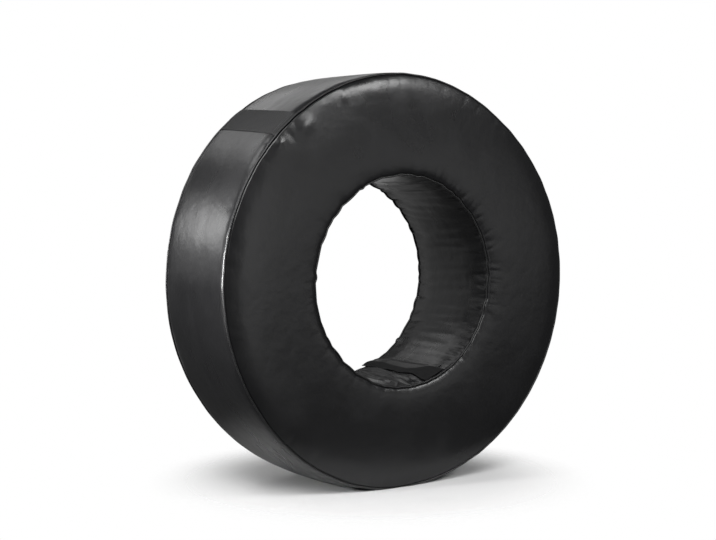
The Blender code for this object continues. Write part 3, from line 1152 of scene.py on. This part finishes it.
def flap_height(around, y):
    """The flap lies on its hem, rises over the tapes and drapes over the first fold beyond them."""
    turn = cad_arc("closure_flap")[0] - around
    beyond = between(8.5, 11, turn)
    drape = 0.0012 + np.maximum(folds(around - 0.6, y), -0.002)
    bulge = 0.0035 * between(0.08, 0.14, y) * np.exp(-(((turn - 7) / 4) ** 2))
    waves_along = 0.0005 * np.sin(y * 62) * between(3, 9, turn)
    return 0.0003 + 0.0021 * smooth(turn / 2.4) * (1 - beyond) + drape * beyond + bulge + waves_along


def make_flap(vinyl, lining):
    """The flap: glossy vinyl at its root and a dull lining cloth beyond, from its own map."""
    paint = Finish("flap lining", Specular_IOR_Level=0.15)
    over = paint.node("SeparateXYZ", {0: paint.node("UVMap")}, output="X")
    grain = paint.noise(420.0, 3.0)
    shade = paint.mix(grain, tinted(lining, 0.7), tinted(lining, 1.3))
    root = paint.node("BsdfPrincipled", {"Base Color": vinyl, "Roughness": COVER_ROUGHNESS, "IOR": VINYL_IOR})
    paint.show(over.above(0.0, 0.025), root, paint.own)
    return paint.paint(shade, 0.75, grain * 0.00008)


class WHEEL_OT_add_closure(bpy.types.Operator):
    """Adds the hem, the flap and its two tapes over the slit in the bore"""

    bl_idname = "wheel.add_closure"
    bl_label = "Add Closure"

    def execute(self, context):
        vinyl = bpy.data.materials["black vinyl"]
        nap = make_tape(tuple(finish().tape))
        hem, half = even_strip("closure_hem_strip", "closure_hem", 10, 0.0003)
        dress(hem, vinyl, "wheel", ["closure_hem"])
        start = cad_arc("closure_flap")[0]
        flap = arc_strip(
            "closure_flap_strip", start, flap_edge, 56, FLAP_FRONT, FLAP_REAR, 110, flap_height,
            FLAP_THICKNESS, overhang=FLAP_OVERHANG,
        )
        _, around, y = off_wheel(points_of(flap))
        past_border = np.radians(np.interp(y, *zip(*FLAP_BORDER)) - around)
        set_map(flap, np.stack([past_border, y], -1))
        material = make_flap(tuple(finish().vinyl), tuple(finish().lining))
        dress(flap, material, None, ["closure_flap"])
        root, on = (spot(0.2531, start - turn, 0.0) for turn in (0, 1.2))
        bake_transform(flap)
        for kind, height, body in (("loop", 0.0003, "wheel"), ("hook", 0.0013, "flap")):
            tape, half = even_strip(f"closure_{kind}_strip", "closure_loop_tape", 16, height)
            dress(tape, nap, body, [f"closure_{kind}_tape"])
        return {"FINISHED"}


# Stage


class StageSettings(bpy.types.PropertyGroup):
    """Lights, floor and camera."""

    lens: bpy.props.FloatProperty(
        name="Lens", description="Focal length of the camera", default=71.54, unit="CAMERA",
    )
    ambient: bpy.props.FloatProperty(
        name="Ambient", description="Strength of the dim light from all round", default=0.075, min=0.0,
    )
    floor_shade: bpy.props.FloatProperty(
        name="Floor Shade", description="How pale the floor is", default=0.85, min=0.0, max=1.0,
        subtype="FACTOR",
    )


# The camera looks at the origin, and its frame is shifted by these pixels of the photograph
PHOTO_WIDTH = 716
PHOTO_LEFT = 13.2
PHOTO_DOWN = 8.3
CAMERA_SPOT = (-2.0424, -2.9561, 0.2103)
BACKDROP_WAY = (0.567, 0.821, -0.058)

# Soft boxes: name, where each stands, what it points at, its width and height, its power in
# watts, and how widely it shines in degrees
LAMPS = (
    ("key_box", (-1.5, -1.95, 1.75), (0, 0, 0.1), 1.6, 1.6, 76.0, 180),
    ("front_box", (1.35, -2.57, 1.54), (0, -0.15, 0.45), 0.95, 0.65, 36.0, 180),
    ("low_box", (1.5, -2.85, 0.04), (0, 0, 0), 2.2, 0.6, 4.1, 180),
    ("lip_box", (0.0, -1.25, -0.03), (0.1, -0.15, -0.03), 0.35, 0.85, 0.8, 180),
    ("side_strip", (-1.68, 0.08, 0.8), (-0.45, -0.1, 0.15), 0.3, 1.8, 7.0, 180),
    ("edge_box", (-2.0, 0.05, 0.2), (-0.5, -0.14, 0.1), 0.13, 0.45, 3.8, 44),
    ("shoulder_box", (-1.27, 0.97, 1.74), (-0.42, -0.14, 0.31), 0.5, 0.5, 3.5, 180),
    ("tread_box", (-0.93, 0.7, 0.35), (-0.49, 0, 0.13), 0.34, 0.25, 0.082, 50),
    ("tread_glow", (-0.93, 0.7, 0.37), (-0.49, 0, 0.13), 0.34, 0.72, 0.07, 50),
    ("bore_box", (-0.2, 0.85, 0.14), (0.15, 0, 0.05), 0.6, 1.1, 0.3, 100),
    ("bore_foot_box", (0.2, 0.9, -0.32), (0.15, 0, 0.15), 0.6, 0.3, 0.05, 100),
    ("back_top_box", (-0.75, 2.1, 1.75), (-0.4, 0, 0.3), 0.8, 0.5, 2.1, 180),
    ("back_right_box", (0.6, 2.2, 1.75), (-0.2, 0, 0.5), 1.6, 0.5, 4.0, 180),
)


class WHEEL_OT_add_stage(bpy.types.Operator):
    """Adds the floor, the pale background, the soft boxes and the camera"""

    bl_idname = "wheel.add_stage"
    bl_label = "Add Stage"

    def execute(self, context):
        self.add_world()
        self.add_floor()
        for lamp in LAMPS:
            self.add_lamp(*lamp)
        self.add_camera()
        context.scene.view_settings.view_transform = "Standard"
        return {"FINISHED"}

    def add_world(self):
        world = bpy.data.worlds.new("pale background")
        bpy.context.scene.world = world
        world.use_nodes = True
        tree = world.node_tree
        camera = Value(tree).node("LightPath", output="Is Camera Ray")
        glossy, through = (
            Value(tree, camera.socket.node.outputs[f"Is {ray} Ray"]) for ray in ("Glossy", "Transmission")
        )
        seen = {0: camera.node("TexCoord", output="Generated"), 1: BACKDROP_WAY}
        backdrop = camera.node("VectorMath", seen, output="Value", operation="DOT_PRODUCT").above(0.93, 0.995)
        share = camera.maths("MAXIMUM", camera, camera.maths("MAXIMUM", glossy, through) * backdrop)
        ambient = bpy.context.scene.wheel_stage.ambient
        background = tree.nodes["Background"].inputs
        camera.feed(background["Strength"], ambient + share * (1 - ambient))
        background["Color"].default_value = (1, 1, 1, 1)

    def add_floor(self):
        clear_selection()
        spot_below = (0, 0, FLOOR_LEVEL)
        bpy.ops.mesh.primitive_circle_add(vertices=96, radius=3.2, fill_type="NGON", location=spot_below)
        floor = bpy.context.object
        floor.name = "studio_floor"
        pale = bpy.context.scene.wheel_stage.floor_shade
        paint = Finish("pale floor", Roughness=0.9, Specular_IOR_Level=0.1)
        reach = paint.node("VectorMath", {0: paint.place}, output="Value", operation="LENGTH")
        paint.show(reach.above(0.26, 0.58), paint.own, paint.node("BsdfTransparent"))
        floor.data.materials.append(paint.paint(colour=(pale, pale, pale)))

    def add_at(self, name, data, place, aim):
        """Adds a lamp or the camera at its place, turned to what it points at."""
        obj = bpy.data.objects.new(name, data)
        bpy.context.scene.collection.objects.link(obj)
        obj.location = place
        obj.rotation_euler = (Vector(aim) - Vector(place)).to_track_quat("-Z", "Y").to_euler()
        return obj

    def add_lamp(self, name, place, aim, width, height, power, spread):
        data = bpy.data.lights.new(name, "AREA")
        set_all(data, {"shape": "RECTANGLE", "size": width, "size_y": height, "energy": power})
        data.spread = math.radians(spread)
        self.add_at(name, data, place, aim).visible_camera = False

    def add_camera(self):
        data = bpy.data.cameras.new("photo_camera")
        set_all(data, {"lens": bpy.context.scene.wheel_stage.lens, "sensor_width": 36.0})
        set_all(data, {"shift_x": -PHOTO_LEFT / PHOTO_WIDTH, "shift_y": PHOTO_DOWN / PHOTO_WIDTH})
        bpy.context.scene.camera = self.add_at("photo_camera", data, CAMERA_SPOT, (0, 0, 0))


STEPS = (
    WHEEL_OT_add_materials,
    WHEEL_OT_add_foam,
    WHEEL_OT_add_faces,
    WHEEL_OT_add_tread,
    WHEEL_OT_add_bore,
    WHEEL_OT_add_piping,
    WHEEL_OT_add_handle,
    WHEEL_OT_add_stitching,
    WHEEL_OT_add_closure,
    WHEEL_OT_add_stage,
)


class WHEEL_PT_panel(bpy.types.Panel):
    bl_idname = "WHEEL_PT_panel"
    bl_label = "Tackling Wheel"
    bl_space_type = "VIEW_3D"
    bl_region_type = "UI"
    bl_category = "Wheel"

    def draw(self, context):
        for group in (context.scene.wheel_sizes, context.scene.wheel_finish, context.scene.wheel_stage):
            for name in group.bl_rna.properties.keys():
                if name not in ("rna_type", "name"):
                    self.layout.prop(group, name)
        for step in STEPS:
            self.layout.operator(step.bl_idname)


GROUPS = (("wheel_sizes", WheelSizes), ("wheel_finish", WheelFinish), ("wheel_stage", StageSettings))


def register():
    for name, group in GROUPS:
        bpy.utils.register_class(group)
        setattr(bpy.types.Scene, name, bpy.props.PointerProperty(type=group))
    for step in STEPS:
        bpy.utils.register_class(step)
    bpy.utils.register_class(WHEEL_PT_panel)


def unregister():
    bpy.utils.unregister_class(WHEEL_PT_panel)
    for step in reversed(STEPS):
        bpy.utils.unregister_class(step)
    for name, group in reversed(GROUPS):
        delattr(bpy.types.Scene, name)
        bpy.utils.unregister_class(group)


def main():
    register()
    for step in STEPS:
        getattr(bpy.ops.wheel, step.bl_idname.split(".")[1])()


if __name__ == "__main__":
    main()
